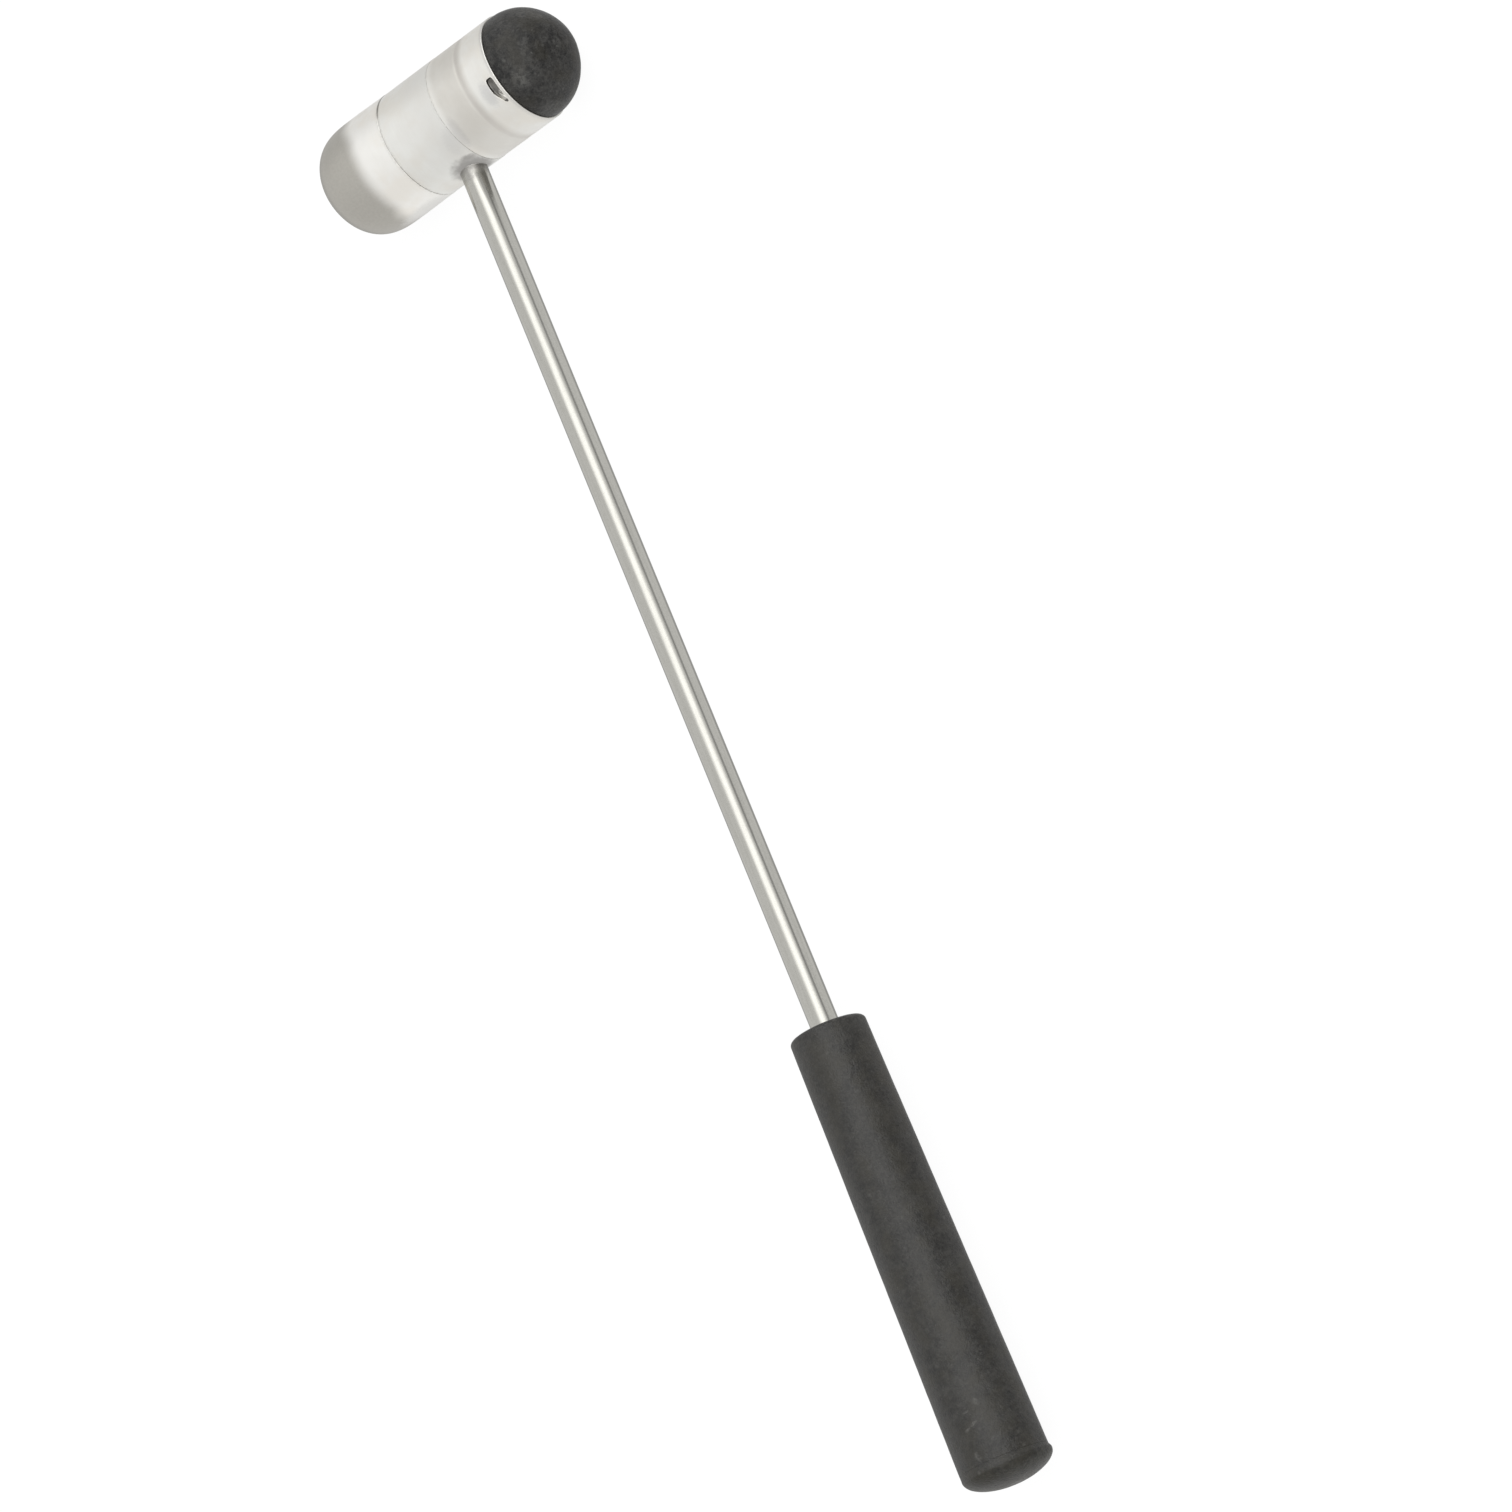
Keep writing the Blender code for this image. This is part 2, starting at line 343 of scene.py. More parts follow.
# ------------------------------------------------------------------ materials
def head_chrome(name, colour, shade, rough, seams=(), wear_and_reflection=None, dull=(), shade_patches=(), rod_reflection_shade=0.0,
                slot_shade_and_grime=0.0):
    """Satin chrome on turned metal: pale, with soft stains, hairline turning marks round
    it, a little dirt beside its seams and a near-black line along them on the side away
    from the grip. The grey end's argument is (from, to, colour, roughness) along the axis,
    where the chrome turns grey: partly a duller face, partly a painted reflection of darker surroundings."""
    mat, t, s = new_material(name)
    p, x, y, z = axis_coords(t)
    turn = lathe_coords(t, x, y, z, 2.6, 1.6)
    hair = clouds(t, turn, 1.0, 4.0, 0.65)
    stain = clouds(t, vec(t, "MULTIPLY", p, (1.0, 0.7, 0.7)), 0.21, 3.0, 0.55)
    speck = clouds(t, p, 2.3, 2.0, 0.6)
    tone = calc(t, "ADD", calc(t, "MULTIPLY", ramp(t, stain, 0.34, 0.70), 0.80),
                calc(t, "MULTIPLY", ramp(t, hair, 0.35, 0.7), 0.20))
    col = blend(t, tone, colour, shade)
    warm = clouds(t, vec(t, "ADD", p, (17.0, 5.0, 29.0)), 0.16, 3.0, 0.55)
    beige = tuple(c * k for c, k in zip(shade[:3], (0.985, 0.955, 0.915))) + (1.0,)
    col = blend(t, calc(t, "MULTIPLY", ramp(t, warm, 0.42, 0.66), 0.60), col, beige)
    # darker, browner patches on the side away from the grip
    back_brown = tuple(c * k for c, k in zip(shade[:3], (0.900, 0.855, 0.790))) + (1.0,)
    back = calc(t, "MULTIPLY", ramp(t, y, 2.0, 8.0), ramp(t, clouds(t, p, 0.5, 3.0, 0.6), 0.34, 0.62))
    col = blend(t, calc(t, "MULTIPLY", back, 0.27), col, back_brown)
    ro = calc(t, "ADD", rough, calc(t, "MULTIPLY", calc(t, "SUBTRACT", hair, 0.5), 0.06))
    ro = calc(t, "ADD", ro, calc(t, "MULTIPLY", calc(t, "SUBTRACT", stain, 0.5), 0.08))
    for x0, x1, x2, x3, tint, much in dull:
        m = calc(t, "MULTIPLY", ramp(t, x, x0, x1), ramp(t, x, x3, x2))
        m = calc(t, "MULTIPLY", m, ramp(t, stain, 0.10, 0.62, 0.55, 1.0))
        m = calc(t, "MULTIPLY", m, ramp(t, y, -10.0, -7.2, 0.62, 1.0))
        col = blend(t, calc(t, "MULTIPLY", m, much), col, tint)
    # the end of the cap turns grey: partly a duller face, partly a painted reflection of darker surroundings
    if wear_and_reflection is not None:
        x0, x1, tint, ro_end = wear_and_reflection
        edge = calc(t, "ADD", x, calc(t, "MULTIPLY", calc(t, "SUBTRACT", stain, 0.5), 1.1))
        edge = calc(t, "ADD", edge, ramp(t, y, -9.4, -10.4, 0.0, 0.9))
        edge = calc(t, "ADD", edge, ramp(t, y, 2.5, 7.0, 0.0, 1.3))
        m = ramp(t, edge, x0, x1)
        rub = blend(t, ramp(t, speck, 0.25, 0.75), tint, tuple(c * 0.93 for c in tint[:3]) + (1.0,))
        col = blend(t, m, col, rub)
        ro = calc(t, "ADD", ro, calc(t, "MULTIPLY", m, ro_end - rough))
    for at, half, dark, black in seams:
        near = calc(t, "ABSOLUTE", calc(t, "SUBTRACT", x, at))
        grime = calc(t, "MULTIPLY", ramp(t, near, half, 0.0), ramp(t, speck, 0.30, 0.72))
        col = blend(t, calc(t, "MULTIPLY", grime, dark), col, rgb(0.33, 0.31, 0.28))
        # a near-black line right at the seam, on the side away from the grip only
        far = calc(t, "MULTIPLY", ramp(t, near, 0.34, 0.12), ramp(t, y, 3.2, 6.0))
        col = blend(t, calc(t, "MULTIPLY", far, black), col, rgb(0.085, 0.080, 0.066))
    # patches of painted shade: soft darker ellipses beside the slot, the seam and the rod's joint, and low on the
    # cap, plus a painted reflection of the rod beside its joint
    for centre, axis, long, wide, tint, much in shade_patches:
        d = vec(t, "SUBTRACT", p, centre)
        a = Vector(axis).normalized()
        run = calc(t, "DIVIDE", vec(t, "DOT_PRODUCT", d, tuple(a)), long)
        off = calc(t, "DIVIDE", vec(t, "LENGTH", vec(t, "CROSS_PRODUCT", d, tuple(a))), wide)
        near = calc(t, "ADD", calc(t, "MULTIPLY", run, run), calc(t, "MULTIPLY", off, off))
        near = calc(t, "ADD", near, calc(t, "MULTIPLY", calc(t, "SUBTRACT", speck, 0.5), 0.9))
        col = blend(t, calc(t, "MULTIPLY", ramp(t, near, 1.15, 0.0), much), col, tint)
    # painted reflection and shade of the rod on the hub round its joint, also a little rougher there
    if rod_reflection_shade > 0:
        off = vec(t, "LENGTH", vec(t, "MULTIPLY", vec(t, "SUBTRACT", p, (0.6, 0.0, 0.7)), (1.0, 0.0, 1.0)))
        off = calc(t, "ADD", off, calc(t, "MULTIPLY", calc(t, "SUBTRACT", clouds(t, p, 0.8, 2.0, 0.6), 0.5), 1.6))
        m = calc(t, "MULTIPLY", ramp(t, off, 4.7, 2.5), ramp(t, y, -5.0, -8.5))
        col = blend(t, calc(t, "MULTIPLY", m, rod_reflection_shade), col, rgb(0.325, 0.314, 0.300))
        ro = calc(t, "ADD", ro, calc(t, "MULTIPLY", m, 0.06))
    # painted shade with grime on the slot's floor: near-black, darker towards one end, with a dark spot
    if slot_shade_and_grime > 0:
        deep = calc(t, "SQRT", calc(t, "ADD", calc(t, "MULTIPLY", y, y), calc(t, "MULTIPLY", z, z)))
        m = calc(t, "MULTIPLY", ramp(t, deep, 10.315, 10.22), calc(t, "MULTIPLY", ramp(t, x, 15.2, 15.4), ramp(t, x, 17.1, 16.95)))
        along = vec(t, "DOT_PRODUCT", p, (0.0, -math.cos(math.radians(30.0)), -math.sin(math.radians(30.0))))
        patchy = ramp(t, clouds(t, p, 0.9, 2.0, 0.6), 0.36, 0.62, 0.90, 1.0)
        pool = ramp(t, along, 2.2, -0.6, 0.45, 1.0)
        spot = ramp(t, calc(t, "ABSOLUTE", calc(t, "SUBTRACT", along, 2.30)), 0.40, 0.12, 0.0, 0.55)
        patchy = calc(t, "MULTIPLY", patchy, calc(t, "MINIMUM", calc(t, "ADD", pool, spot), 1.0))
        col = blend(t, calc(t, "MULTIPLY", calc(t, "MULTIPLY", m, patchy), slot_shade_and_grime), col, rgb(0.075, 0.072, 0.066))
    t.links.new(col, s.inputs["Base Color"])
    s.inputs["Metallic"].default_value = 1.0
    t.links.new(ro, s.inputs["Roughness"])
    h = calc(t, "ADD", clouds(t, p, 0.16, 1.0, 0.5), calc(t, "MULTIPLY", hair, 0.004))
    b = node(t, "ShaderNodeBump", {"Height": h, "Strength": 1.0, "Distance": 0.000012})
    t.links.new(b.outputs["Normal"], s.inputs["Normal"])
    return mat


def rod_chrome(name):
    """Chromed drawn rod: cooler and darker than the head, fine marks along it, a light
    pitting all over, a mottled stain with painted shade where it leaves the head and a
    painted dark reflection that fades down its side from there."""
    mat, t, s = new_material(name)
    p, x, y, z = axis_coords(t)
    drawn = clouds(t, lathe_coords(t, calc(t, "MULTIPLY", y, 0.12), x, z, 1.0, 7.0), 1.0, 4.0, 0.6)
    pits = clouds(t, p, 2.6, 3.0, 0.7)
    stain = clouds(t, vec(t, "MULTIPLY", p, (0.5, 0.12, 0.5)), 1.0, 3.0, 0.5)
    tone = calc(t, "ADD", calc(t, "MULTIPLY", ramp(t, pits, 0.42, 0.72), 0.5),
                calc(t, "MULTIPLY", ramp(t, drawn, 0.35, 0.7), 0.5))
    col = blend(t, tone, rgb(0.520, 0.513, 0.477), rgb(0.446, 0.439, 0.404))
    # a mottled stain with painted shade where the rod leaves the head; rougher there, so the highlight starts as a
    # point
    mottle = clouds(t, p, 0.85, 2.0, 0.6)
    down = calc(t, "SUBTRACT", calc(t, "MULTIPLY", calc(t, "SUBTRACT", mottle, 0.5), 3.6), y)
    m = calc(t, "MULTIPLY", ramp(t, down, 13.3, 11.0), ramp(t, pits, 0.25, 0.6, 0.70, 1.0))
    col = blend(t, calc(t, "MULTIPLY", m, 0.80), col, rgb(0.340, 0.330, 0.315))
    # painted reflection: a dark streak on the rod's side, widest and darkest near the head, fading down the rod
    face = vec(t, "DOT_PRODUCT", p, (math.sin(math.radians(54)) / 2.5, 0.0, math.cos(math.radians(54)) / 2.5))
    face = calc(t, "ADD", face, ramp(t, y, -23.0, -11.0, -0.008, 0.062))
    dark_reflection = calc(t, "MULTIPLY", ramp(t, face, 0.950, 0.990), ramp(t, y, -30.0, -11.5))
    dark_reflection = calc(t, "MULTIPLY", dark_reflection, ramp(t, y, -10.8, -12.3, 0.25, 1.0))
    dark_reflection = calc(t, "MULTIPLY", calc(t, "MULTIPLY", dark_reflection, dark_reflection), ramp(t, drawn, 0.25, 0.6, 0.7, 1.0))
    col = blend(t, calc(t, "MULTIPLY", dark_reflection, 0.62), col, rgb(0.11, 0.107, 0.098))
    t.links.new(col, s.inputs["Base Color"])
    s.inputs["Metallic"].default_value = 1.0
    ro = calc(t, "ADD", 0.155, calc(t, "MULTIPLY", calc(t, "SUBTRACT", pits, 0.5), 0.14))
    ro = calc(t, "ADD", ro, calc(t, "MULTIPLY", m, 0.27))
    ro = calc(t, "ADD", ro, calc(t, "MULTIPLY", calc(t, "SUBTRACT", stain, 0.5), 0.08))
    t.links.new(ro, s.inputs["Roughness"])
    h = calc(t, "ADD", calc(t, "MULTIPLY", drawn, 0.5), calc(t, "MULTIPLY", pits, 0.5))
    b = node(t, "ShaderNodeBump", {"Height": h, "Strength": 0.5, "Distance": 0.000012})
    t.links.new(b.outputs["Normal"], s.inputs["Normal"])
    return mat


def plain_steel(name, colour, shade):
    """Plain turned steel of the hidden pieces: dull, with fine tool marks and oil stains."""
    mat, t, s = new_material(name)
    p, x, y, z = axis_coords(t)
    hair = clouds(t, lathe_coords(t, x, y, z, 6.0, 1.2), 1.0, 4.0, 0.7)
    stain = clouds(t, p, 0.5, 3.0, 0.55)
    tone = calc(t, "ADD", calc(t, "MULTIPLY", hair, 0.5), calc(t, "MULTIPLY", ramp(t, stain, 0.4, 0.7), 0.5))
    t.links.new(blend(t, tone, colour, shade), s.inputs["Base Color"])
    s.inputs["Metallic"].default_value = 1.0
    t.links.new(calc(t, "ADD", 0.26, calc(t, "MULTIPLY", hair, 0.16)), s.inputs["Roughness"])
    b = node(t, "ShaderNodeBump", {"Height": hair, "Strength": 0.4, "Distance": 0.00002})
    t.links.new(b.outputs["Normal"], s.inputs["Normal"])
    return mat


def rubber(name, colour, shade, pale, rough, gloss, scuffs_and_highlights=(), dusty=1.0, crisp=0.0, below=None):
    """Moulded black rubber: a fine grain, mottled grey bloom, stray dust, scuffs and painted
    highlights. below is (from, to, colour, shade, gloss) along the rod, where a duller face begins."""
    mat, t, s = new_material(name)
    p, x, y, z = axis_coords(t)
    grain = clouds(t, p, 1.25, 4.0, 0.72)
    fine = clouds(t, p, 3.4, 3.0, 0.65)
    patch = clouds(t, p, 0.27, 4.0, 0.6)
    warm = clouds(t, vec(t, "ADD", p, (40.0, 7.0, 3.0)), 0.25, 3.0, 0.5)
    tone = calc(t, "ADD", calc(t, "MULTIPLY", ramp(t, grain, 0.40 + crisp, 0.62 - crisp), 0.40),
                calc(t, "MULTIPLY", ramp(t, patch, 0.38 + crisp, 0.62 - crisp), 0.32))
    tone = calc(t, "ADD", tone, calc(t, "MULTIPLY", ramp(t, fine, 0.40, 0.62), 0.28))
    col = blend(t, tone, shade, colour)
    shine = None
    if below is not None:
        y0, y1, colour2, shade2, gloss2 = below
        edge = calc(t, "ADD", y, calc(t, "MULTIPLY", calc(t, "SUBTRACT", patch, 0.5), 0.6))
        col = blend(t, ramp(t, edge, y0, y1), col, blend(t, tone, shade2, colour2))
        shine = ramp(t, edge, y0, y1, gloss, gloss2)
    col = blend(t, calc(t, "MULTIPLY", ramp(t, warm, 0.42, 0.66), 0.42), col, rgb(0.022, 0.019, 0.0115))
    cells = node(t, "ShaderNodeTexVoronoi", {"Vector": p, "Scale": 0.42, "Randomness": 1.0})
    odd = node(t, "ShaderNodeSeparateColor", {"Color": cells.outputs["Color"]}).outputs[0]
    dust = calc(t, "MULTIPLY", ramp(t, cells.outputs["Distance"], 0.21, 0.04), ramp(t, odd, 0.66, 0.98))
    cells2 = node(t, "ShaderNodeTexVoronoi", {"Vector": p, "Scale": 1.1, "Randomness": 1.0})
    odd2 = node(t, "ShaderNodeSeparateColor", {"Color": cells2.outputs["Color"]}).outputs[1]
    dust2 = calc(t, "MULTIPLY", ramp(t, cells2.outputs["Distance"], 0.34, 0.08), ramp(t, odd2, 0.70, 1.0))
    light = calc(t, "ADD", calc(t, "MULTIPLY", dust, 0.42 * dusty), calc(t, "MULTIPLY", dust2, 0.22 * dusty))
    # pale marks: scuffs, and on the tip a painted highlight
    for centre, axis, long, wide, much in scuffs_and_highlights:
        d = vec(t, "SUBTRACT", p, centre)
        a = Vector(axis).normalized()
        run = calc(t, "DIVIDE", vec(t, "DOT_PRODUCT", d, tuple(a)), long)
        off = vec(t, "LENGTH", vec(t, "CROSS_PRODUCT", d, tuple(a)))
        off = calc(t, "DIVIDE", off, wide)
        near = calc(t, "ADD", calc(t, "MULTIPLY", run, run), calc(t, "MULTIPLY", off, off))
        mark = calc(t, "MULTIPLY", ramp(t, near, 1.0, 0.05), ramp(t, grain, 0.36, 0.62, 0.25, 1.0))
        light = calc(t, "ADD", light, calc(t, "MULTIPLY", mark, much))
    col = blend(t, calc(t, "MINIMUM", light, 1.0), col, pale)
    t.links.new(col, s.inputs["Base Color"])
    ro = calc(t, "ADD", rough, calc(t, "MULTIPLY", calc(t, "SUBTRACT", patch, 0.5), 0.22))
    ro = calc(t, "ADD", ro, calc(t, "MULTIPLY", calc(t, "SUBTRACT", grain, 0.5), 0.20))
    t.links.new(ro, s.inputs["Roughness"])
    s.inputs["Specular IOR Level"].default_value = gloss
    if shine is not None:
        t.links.new(shine, s.inputs["Specular IOR Level"])
    h = calc(t, "ADD", calc(t, "MULTIPLY", grain, 0.60), calc(t, "MULTIPLY", fine, 0.40))
    b = node(t, "ShaderNodeBump", {"Height": h, "Strength": 0.80, "Distance": 0.00030})
    t.links.new(b.outputs["Normal"], s.inputs["Normal"])
    return mat


chrome_cap = head_chrome("cap_chrome", rgb(0.940, 0.930, 0.895), rgb(0.892, 0.878, 0.838), 0.34,
                         seams=((-8.2, 0.6, 0.30, 0.60),),
                         # painted shade low on the cap, on its side towards the floor
                         shade_patches=(((-13.2, -10.4, -1.6), (1.0, 0.0, 0.0), 6.5, 3.2, rgb(0.755, 0.747, 0.718), 0.85),),
                         # grey end of the dome: a duller face with a painted reflection of darker surroundings
                         wear_and_reflection=(-13.4, -17.1, rgb(0.478, 0.461, 0.421), 0.38))
chrome_hub = head_chrome("hub_chrome", rgb(0.842, 0.841, 0.808), rgb(0.792, 0.785, 0.750), 0.40,
                         seams=((-8.2, 0.6, 0.30, 0.60), (4.0, 0.6, 0.12, 0.0)),
                         dull=((-6.0, 2.0, 8.0, 9.0, rgb(0.750, 0.742, 0.711), 0.80),),
                         # painted shade above the rod's joint and a dark spot of painted reflection of the rod beside
                         # it
                         shade_patches=(((2.7, -7.3, 7.4), (-0.25, -0.7, -0.7), 3.6, 1.7, rgb(0.600, 0.590, 0.570), 0.30),
                                  ((2.5, -9.6, 3.9), (1.0, -0.1, -0.25), 1.9, 0.95, rgb(0.30, 0.29, 0.28), 0.55)),
                         # strength of the painted reflection and shade of the rod on the hub
                         rod_reflection_shade=0.84)
chrome_sleeve = head_chrome("sleeve_chrome", rgb(0.856, 0.849, 0.812), rgb(0.800, 0.788, 0.750), 0.40,
                            seams=((4.0, 0.6, 0.12, 0.0),),
                            dull=((3.9, 5.8, 11.7, 12.9, rgb(0.655, 0.632, 0.584), 0.88),
                                  (10.6, 11.0, 11.4, 12.1, rgb(0.535, 0.503, 0.472), 0.42),
                                  (16.8, 17.3, 18.5, 19.0, rgb(0.600, 0.592, 0.570), 0.62)),
                            # a band of painted shade beside the seam and painted shade beside the slot
                            shade_patches=(((5.0, -6.7, 7.9), (-0.10, -0.74, -0.66), 4.3, 1.25, rgb(0.50, 0.485, 0.475), 0.40),
                                     ((14.5, -4.9, 9.1), (0.0, -0.88, -0.47), 3.0, 1.5, rgb(0.610, 0.608, 0.600), 0.62)),
                            # strength of the painted shade and grime in the slots
                            slot_shade_and_grime=0.92)
chrome_rod = rod_chrome("rod_chrome")
steel_stud = plain_steel("stud_steel", rgb(0.58, 0.575, 0.56), rgb(0.42, 0.41, 0.39))
steel_disc = plain_steel("disc_steel", rgb(0.60, 0.595, 0.58), rgb(0.45, 0.44, 0.42))
rubber_tip_mat = rubber("tip_rubber", rgb(0.0385, 0.0374, 0.0346), rgb(0.0005, 0.0005, 0.0004),
                        rgb(0.15, 0.147, 0.137), 0.42, 0.33, dusty=0.7, crisp=0.04,
                        # the first two marks, low on the dome towards the grip, are a painted highlight, not scuffs
                        scuffs_and_highlights=(((20.9, -5.5, 7.8), (-0.16, -0.96, -0.20), 2.9, 2.1, 0.24),
                                ((20.9, -5.6, 7.7), (-0.16, -0.96, -0.20), 1.5, 0.8, 0.14),
                                ((24.0, -0.3, 7.6), (-0.45, -0.89, 0.0), 2.5, 1.3, 0.16),
                                ((27.2, -1.2, 2.5), (0.2, -1.0, 0.0), 1.3, 1.1, 0.22),
                                ((27.76, -1.24, 0.17), (0.1, -1.0, 0.3), 1.0, 0.6, 0.20),
                                ((20.3, -1.7, 9.6), (0.3, -1.0, 0.0), 0.8, 0.45, 0.20),
                                ((24.4, -2.2, 6.9), (0.3, -1.0, 0.0), 0.35, 0.25, 0.38),
                                ((20.2, -9.8, 0.5), (0.4, 0.2, -0.9), 2.6, 1.8, 0.16),
                                ((24.9, 5.4, 4.0), (0.73, -0.37, -0.58), 4.5, 1.6, 0.18)))
rubber_grip_mat = rubber("grip_rubber", rgb(0.0310, 0.0296, 0.0260), rgb(0.0042, 0.0038, 0.0030),
                         rgb(0.15, 0.147, 0.137), 0.39, 0.47, dusty=0.35,
                         scuffs_and_highlights=(((2.0, -245.4, 7.35), (0.84, 0.31, -0.40), 1.0, 0.34, 0.40),
                                 ((0.6, -246.0, 7.65), (0.84, 0.31, -0.20), 0.8, 0.30, 0.32),
                                 ((1.5, -243.2, 7.5), (1.0, 0.10, -0.25), 0.7, 0.30, 0.28),
                                 ((3.6, -242.3, 6.7), (0.3, -1.0, 0.0), 0.9, 0.55, 0.24),
                                 ((4.0, -248.8, 6.4), (1.0, 0.2, -0.5), 0.7, 0.50, 0.22),
                                 ((0.6, -250.5, 7.65), (0.3, -1.0, 0.0), 1.2, 0.65, 0.30)))
rubber_end_mat = rubber("end_rubber", rgb(0.0310, 0.0296, 0.0260), rgb(0.0042, 0.0038, 0.0030),
                        rgb(0.15, 0.147, 0.137), 0.42, 0.47, dusty=0.6,
                        below=(-253.00, -253.30, rgb(0.0440, 0.0424, 0.0366), rgb(0.0075, 0.0070, 0.0056), 0.25))

# ------------------------------------------------------------------ metal cap
CAP_SEAM = -8.225
ROUND = angles(224)


def cap_radius(x):
    return 10.41 + 0.10 * smooth((CAP_SEAM - x) / 6.9)


prof = [(-16.2, 0.0)] + corners([(-16.2, 0.001, 0), (-14.4, 3.05, 0), (CAP_SEAM - 0.45, 3.05, 0),
                                 (CAP_SEAM, 3.5, 0), (CAP_SEAM, 10.41, 0.055), (CAP_SEAM - 0.5, 10.41, 0)])
k = 1
while CAP_SEAM - 0.5 - 0.4 * k > -17.0:
    x = CAP_SEAM - 0.5 - 0.4 * k
    prof.append((x, cap_radius(x)))
    k += 1
prof.append((-17.0, cap_radius(-17.0)))
prof += dome(-17.0, 11.06, cap_radius(-17.0), 3.22, 2.0, -1, 44)
sh = Shell()
sh.turn(prof, on_head, ROUND)
piece("cap_dome", sh, chrome_cap, "cap", "striking_cap")

# stud with its thread; the slot at its inner end is not modelled
sh = Shell()
turns = angles(72)
a, b = sh.screw(-13.3, -3.0, 2.42, 2.95, 1.0, on_head, turns, 0.15, 0.15)
sh.tip(a, on_head(-13.4, 0, 0))
sh.tip(b, on_head(-2.9, 0, 0))
piece("stud_screw", sh, steel_stud, "cap_thread", "cap_stud", sharp=50)

# ------------------------------------------------------------------ hub
HUB_L, HUB_R = -8.185, 3.992
R = 10.38
PATCH = 3.55
half = PATCH / R
m = 26
turns = [0.5 * math.pi - half + 2 * half * i / m for i in range(m)]
rest = 190
turns += [0.5 * math.pi + half + (TAU - 2 * half) * i / rest for i in range(rest)]
left = corners([(HUB_L, 9.6, 0), (HUB_L, R, 0.055), (-PATCH, R, 0)], step=0.5)
right = corners([(PATCH, R, 0), (HUB_R, R, 0.020), (HUB_R, 9.9, 0)], step=0.5)
prof = left + [(-PATCH + 2 * PATCH * i / m, R) for i in range(1, m)] + right
i0 = len(left) - 1


def rod_outline(r):
    def out(t):
        # direction across the wall to the round hole that the rod makes in it
        return r * math.cos(t), 0.5 * math.pi + math.asin(r * math.sin(t) / R)
    return out


sh = Shell()
FILLET = 0.10
first, last, lips = wall(sh, prof, turns, [(i0, i0 + m, 0, m, rod_outline(2.5 + FILLET), 8)])
ring, lip = lips[0]
steps = [(2.5 + FILLET * (1 - math.sin(q)), FILLET * (1 - math.cos(q))) for q in
         [0.5 * math.pi * k / 9 for k in range(1, 10)]]
for rr, high in steps + [(2.48, FILLET), (2.48, 0.0), (2.48, -3.0)]:
    pts = []
    for s, a in lip:
        t = math.atan2(R * math.sin(a - 0.5 * math.pi), s)
        x, dz = rr * math.cos(t), -rr * math.sin(t)
        y = -math.sqrt(R * R - dz * dz) - high
        pts.append((x * MM, (YC + y) * MM, (ZC + dz) * MM))
    nxt = sh.ring(pts)
    sh.band(ring, nxt)
    ring = nxt
face = corners([(HUB_L, 9.6, 0), (HUB_L, 3.5, 0), (HUB_L + 0.45, 3.05, 0), (-2.75, 3.05, 0), (-2.62, 0.001, 0)])
prev = first
for s, r in face[1:]:
    nxt = sh.ring([on_head(s, r, a) for a in turns])
    sh.band(prev, nxt)
    prev = nxt
prev = last
for s, r in ((HUB_R, 8.6), (HUB_R, 7.02), (HUB_R + 0.3, 6.98)):
    nxt = sh.ring([on_head(s, r, a) for a in turns])
    sh.band(prev, nxt)
    prev = nxt
spig = angles(120)
a, b = sh.screw(HUB_R + 0.1, 9.0, 7.00, 7.60, 1.0, on_head, spig, 0.15, 0.0)
end = sh.turn([(9.0, 7.00), (9.2, 6.8), (9.2, 5.0), (9.2, 2.2), (8.6, 1.2), (8.4, 0.0)], on_head, spig)
piece("hub_body", sh, chrome_hub, "handle", "head_hub")

# ------------------------------------------------------------------ sleeve
SL_F, SL_RIM = 4.008, 17.6
R = 10.33
SLOT_X0, SLOT_X1 = 15.4, 16.9
PX0, PX1 = 15.05, 17.22
slot_mid = math.radians(30.0)
slot_half = math.radians(15.0)
patch_half = math.radians(19.0)
mx, ma = 14, 34


def slot_turns():
    out = []
    for c in (slot_mid, slot_mid + math.pi):
        out += [c - patch_half + 2 * patch_half * i / ma for i in range(ma)]
        gap = math.pi - 2 * patch_half
        out += [c + patch_half + gap * i / 82 for i in range(82)]
    return out


def sleeve_radius(x):
    d = abs(x - 10.95) / 0.65
    return R - (0.022 * (1 + math.cos(math.pi * d)) if d < 1 else 0.0)


turns = slot_turns()
left = corners([(SL_F, 9.9, 0), (SL_F, R, 0.020), (10.2, R, 0)], step=0.6)
mid = [(10.2 + 0.1 * i, sleeve_radius(10.2 + 0.1 * i)) for i in range(1, 16)]
mid += [(11.7 + (PX0 - 11.7) * i / 6, R) for i in range(1, 7)]
mid += [(PX0 + (PX1 - PX0) * i / mx, R) for i in range(1, mx)]
right = corners([(PX1, R, 0), (SL_RIM, R, 0.14), (SL_RIM, 9.6, 0)], step=0.3)
prof = left + mid + right
i0 = len(left) + 15 + 6 - 1


def slot_outline(centre, grow=0.0):
    def out(t):
        c, s = math.cos(t), math.sin(t)
        e = 2.0 / 5.0
        v = math.copysign(abs(s) ** e, s)
        x = 0.5 * (SLOT_X0 + SLOT_X1) + (0.5 * (SLOT_X1 - SLOT_X0) + grow) * math.copysign(abs(c) ** e, c)
        lean = 0.55 * smooth((v + 0.1) / 1.1)          # narrower towards the rim at its lower end
        return SLOT_X1 - (SLOT_X1 - x) * (1.0 - lean), centre + (slot_half + grow / R) * v
    return out


def both(grow):
    return [(i0, i0 + mx, 0, ma, slot_outline(slot_mid, grow), 6),
            (i0, i0 + mx, ma + 82, 2 * ma + 82, slot_outline(slot_mid + math.pi, grow), 6)]


